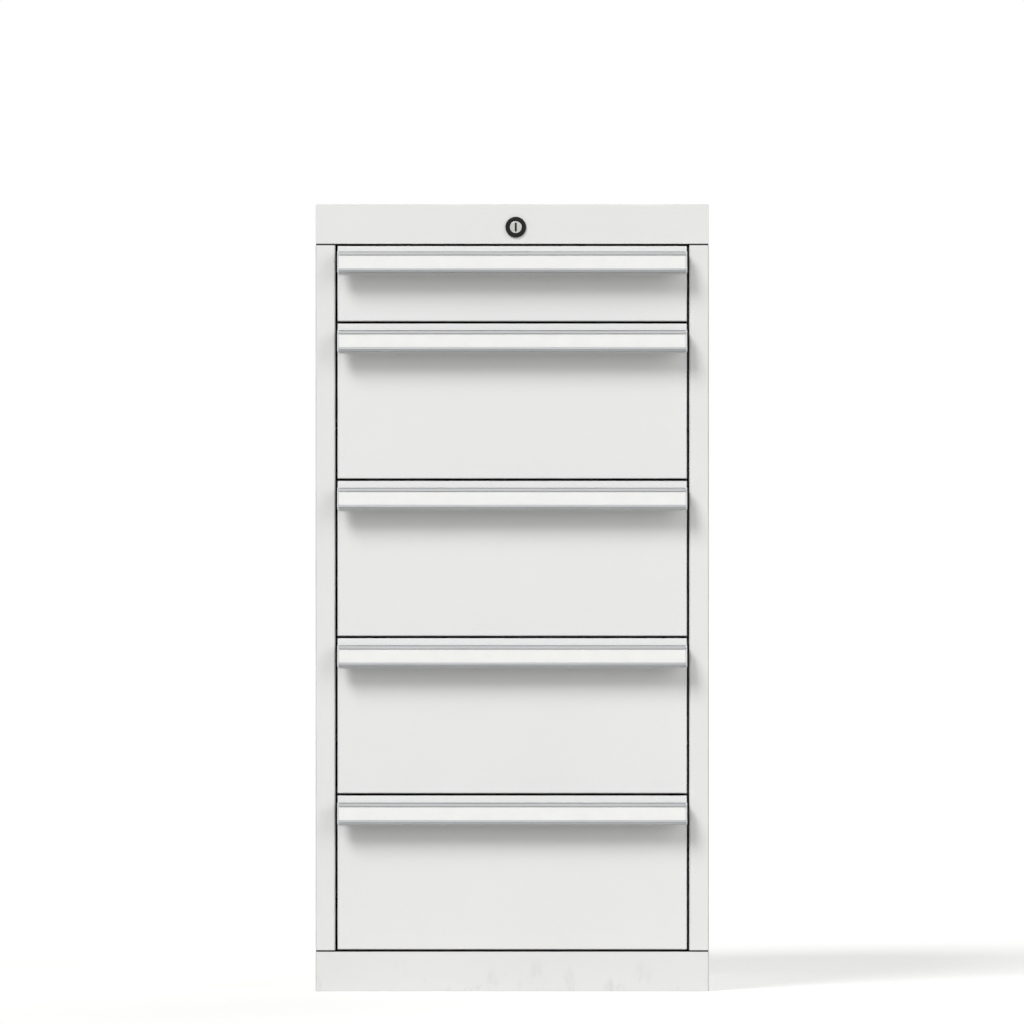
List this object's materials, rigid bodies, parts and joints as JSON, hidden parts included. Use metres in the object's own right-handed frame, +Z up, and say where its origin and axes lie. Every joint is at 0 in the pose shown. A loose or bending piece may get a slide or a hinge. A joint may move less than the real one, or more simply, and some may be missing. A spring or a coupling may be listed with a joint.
{
  "type": "modular drawer cabinet",
  "caption": "Freestanding sheet-steel cabinet with full-width handle rails on its drawers, telescopic ball slides in slotted uprights and a central lock in the head rail.",
  "frame": {"origin": "centre of the footprint on the floor, which is also the centre of the four floor bolts", "axes": "+X to the right seen from the front, -Y out of the front, so the drawers open towards -Y, +Z up"},
  "size_m": [0.5, 0.6301, 1],
  "materials": {
    "body_paint": "white powder coat with a fine orange peel, satin",
    "front_paint": "white powder coat, smooth satin",
    "tray_paint": "light grey powder coat, satin",
    "zinc_plate": "bright zinc plate on cold-rolled steel",
    "handle_aluminium": "natural satin anodised extrusion",
    "label_card": "plain white card",
    "lock_black": "black satin coat on die-cast zinc",
    "lock_nickel": "polished nickel plate",
    "cage_plastic": "moulded black acetal",
    "guide_plastic": "moulded natural nylon"
  },
  "bodies": {
    "cabinet": {"left_side_panel": "body_paint", "right_side_panel": "body_paint", "back_panel": "body_paint", "top_cover": "body_paint", "base_plinth": "body_paint", "bottom_deck": "body_paint", "slotted_uprights": "zinc_plate", "lock_housing": "lock_black", "lock_nut": "zinc_plate", "lock_carrier": "zinc_plate", "lock_bar_guides": "guide_plastic", "slide_1_cabinet_rails": "zinc_plate", "slide_2_cabinet_rails": "zinc_plate", "slide_3_cabinet_rails": "zinc_plate", "slide_4_cabinet_rails": "zinc_plate", "slide_5_cabinet_rails": "zinc_plate"},
    "drawer_1": {"drawer_1_tray": "tray_paint", "drawer_1_front": "front_paint", "drawer_1_handle": "handle_aluminium", "drawer_1_label": "label_card", "drawer_1_rails": "zinc_plate"},
    "slide_1_middle": {"slide_1_middle_rails": "zinc_plate"},
    "slide_1_outer_cages": {"slide_1_outer_cages": "cage_plastic"},
    "slide_1_inner_cages": {"slide_1_inner_cages": "cage_plastic"},
    "drawer_2": {"drawer_2_tray": "tray_paint", "drawer_2_front": "front_paint", "drawer_2_handle": "handle_aluminium", "drawer_2_label": "label_card", "drawer_2_rails": "zinc_plate"},
    "slide_2_middle": {"slide_2_middle_rails": "zinc_plate"},
    "slide_2_outer_cages": {"slide_2_outer_cages": "cage_plastic"},
    "slide_2_inner_cages": {"slide_2_inner_cages": "cage_plastic"},
    "drawer_3": {"drawer_3_tray": "tray_paint", "drawer_3_front": "front_paint", "drawer_3_handle": "handle_aluminium", "drawer_3_label": "label_card", "drawer_3_rails": "zinc_plate"},
    "slide_3_middle": {"slide_3_middle_rails": "zinc_plate"},
    "slide_3_outer_cages": {"slide_3_outer_cages": "cage_plastic"},
    "slide_3_inner_cages": {"slide_3_inner_cages": "cage_plastic"},
    "drawer_4": {"drawer_4_tray": "tray_paint", "drawer_4_front": "front_paint", "drawer_4_handle": "handle_aluminium", "drawer_4_label": "label_card", "drawer_4_rails": "zinc_plate"},
    "slide_4_middle": {"slide_4_middle_rails": "zinc_plate"},
    "slide_4_outer_cages": {"slide_4_outer_cages": "cage_plastic"},
    "slide_4_inner_cages": {"slide_4_inner_cages": "cage_plastic"},
    "drawer_5": {"drawer_5_tray": "tray_paint", "drawer_5_front": "front_paint", "drawer_5_handle": "handle_aluminium", "drawer_5_label": "label_card", "drawer_5_rails": "zinc_plate"},
    "slide_5_middle": {"slide_5_middle_rails": "zinc_plate"},
    "slide_5_outer_cages": {"slide_5_outer_cages": "cage_plastic"},
    "slide_5_inner_cages": {"slide_5_inner_cages": "cage_plastic"},
    "lock_plug": {"lock_plug": "lock_nickel", "lock_cam": "zinc_plate"},
    "lock_slider": {"lock_slider": "zinc_plate"},
    "lock_bar": {"lock_bar": "zinc_plate"}
  },
  "joints": [
    {"name": "drawer_1_slide", "type": "slide", "parent": "cabinet", "child": "drawer_1", "axis": [0, -1, 0], "range_m": [0, 0.5]},
    {"name": "slide_1_middle_travel", "type": "slide", "parent": "cabinet", "child": "slide_1_middle", "axis": [0, -1, 0], "range_m": [0, 0.25]},
    {"name": "slide_1_outer_cages_travel", "type": "slide", "parent": "cabinet", "child": "slide_1_outer_cages", "axis": [0, -1, 0], "range_m": [0, 0.125]},
    {"name": "slide_1_inner_cages_travel", "type": "slide", "parent": "cabinet", "child": "slide_1_inner_cages", "axis": [0, -1, 0], "range_m": [0, 0.375]},
    {"name": "drawer_2_slide", "type": "slide", "parent": "cabinet", "child": "drawer_2", "axis": [0, -1, 0], "range_m": [0, 0.5]},
    {"name": "slide_2_middle_travel", "type": "slide", "parent": "cabinet", "child": "slide_2_middle", "axis": [0, -1, 0], "range_m": [0, 0.25]},
    {"name": "slide_2_outer_cages_travel", "type": "slide", "parent": "cabinet", "child": "slide_2_outer_cages", "axis": [0, -1, 0], "range_m": [0, 0.125]},
    {"name": "slide_2_inner_cages_travel", "type": "slide", "parent": "cabinet", "child": "slide_2_inner_cages", "axis": [0, -1, 0], "range_m": [0, 0.375]},
    {"name": "drawer_3_slide", "type": "slide", "parent": "cabinet", "child": "drawer_3", "axis": [0, -1, 0], "range_m": [0, 0.5]},
    {"name": "slide_3_middle_travel", "type": "slide", "parent": "cabinet", "child": "slide_3_middle", "axis": [0, -1, 0], "range_m": [0, 0.25]},
    {"name": "slide_3_outer_cages_travel", "type": "slide", "parent": "cabinet", "child": "slide_3_outer_cages", "axis": [0, -1, 0], "range_m": [0, 0.125]},
    {"name": "slide_3_inner_cages_travel", "type": "slide", "parent": "cabinet", "child": "slide_3_inner_cages", "axis": [0, -1, 0], "range_m": [0, 0.375]},
    {"name": "drawer_4_slide", "type": "slide", "parent": "cabinet", "child": "drawer_4", "axis": [0, -1, 0], "range_m": [0, 0.5]},
    {"name": "slide_4_middle_travel", "type": "slide", "parent": "cabinet", "child": "slide_4_middle", "axis": [0, -1, 0], "range_m": [0, 0.25]},
    {"name": "slide_4_outer_cages_travel", "type": "slide", "parent": "cabinet", "child": "slide_4_outer_cages", "axis": [0, -1, 0], "range_m": [0, 0.125]},
    {"name": "slide_4_inner_cages_travel", "type": "slide", "parent": "cabinet", "child": "slide_4_inner_cages", "axis": [0, -1, 0], "range_m": [0, 0.375]},
    {"name": "drawer_5_slide", "type": "slide", "parent": "cabinet", "child": "drawer_5", "axis": [0, -1, 0], "range_m": [0, 0.5]},
    {"name": "slide_5_middle_travel", "type": "slide", "parent": "cabinet", "child": "slide_5_middle", "axis": [0, -1, 0], "range_m": [0, 0.25]},
    {"name": "slide_5_outer_cages_travel", "type": "slide", "parent": "cabinet", "child": "slide_5_outer_cages", "axis": [0, -1, 0], "range_m": [0, 0.125]},
    {"name": "slide_5_inner_cages_travel", "type": "slide", "parent": "cabinet", "child": "slide_5_inner_cages", "axis": [0, -1, 0], "range_m": [0, 0.375]},
    {"name": "lock_turn", "type": "hinge", "parent": "cabinet", "child": "lock_plug", "pos_m": [0.0045, -0.3, 0.971], "axis": [0, 1, 0], "range_deg": [0, 90]},
    {"name": "lock_slider_travel", "type": "slide", "parent": "cabinet", "child": "lock_slider", "axis": [1, 0, 0], "range_m": [0, 0.01131]},
    {"name": "lock_bar_lift", "type": "slide", "parent": "cabinet", "child": "lock_bar", "axis": [0, 0, 1], "range_m": [0, 0.01131]}
  ],
  "couplings": [
    {"joint": "slide_1_middle_travel", "follows": "drawer_1_slide", "ratio": 0.5},
    {"joint": "slide_1_outer_cages_travel", "follows": "drawer_1_slide", "ratio": 0.25},
    {"joint": "slide_1_inner_cages_travel", "follows": "drawer_1_slide", "ratio": 0.75},
    {"joint": "slide_2_middle_travel", "follows": "drawer_2_slide", "ratio": 0.5},
    {"joint": "slide_2_outer_cages_travel", "follows": "drawer_2_slide", "ratio": 0.25},
    {"joint": "slide_2_inner_cages_travel", "follows": "drawer_2_slide", "ratio": 0.75},
    {"joint": "slide_3_middle_travel", "follows": "drawer_3_slide", "ratio": 0.5},
    {"joint": "slide_3_outer_cages_travel", "follows": "drawer_3_slide", "ratio": 0.25},
    {"joint": "slide_3_inner_cages_travel", "follows": "drawer_3_slide", "ratio": 0.75},
    {"joint": "slide_4_middle_travel", "follows": "drawer_4_slide", "ratio": 0.5},
    {"joint": "slide_4_outer_cages_travel", "follows": "drawer_4_slide", "ratio": 0.25},
    {"joint": "slide_4_inner_cages_travel", "follows": "drawer_4_slide", "ratio": 0.75},
    {"joint": "slide_5_middle_travel", "follows": "drawer_5_slide", "ratio": 0.5},
    {"joint": "slide_5_outer_cages_travel", "follows": "drawer_5_slide", "ratio": 0.25},
    {"joint": "slide_5_inner_cages_travel", "follows": "drawer_5_slide", "ratio": 0.75},
    {"joint": "lock_slider_travel", "follows": "lock_bar_lift", "ratio": 1},
    {"joint": "lock_turn", "follows": "lock_bar_lift", "rad_per_m": 138.84}
  ]
}
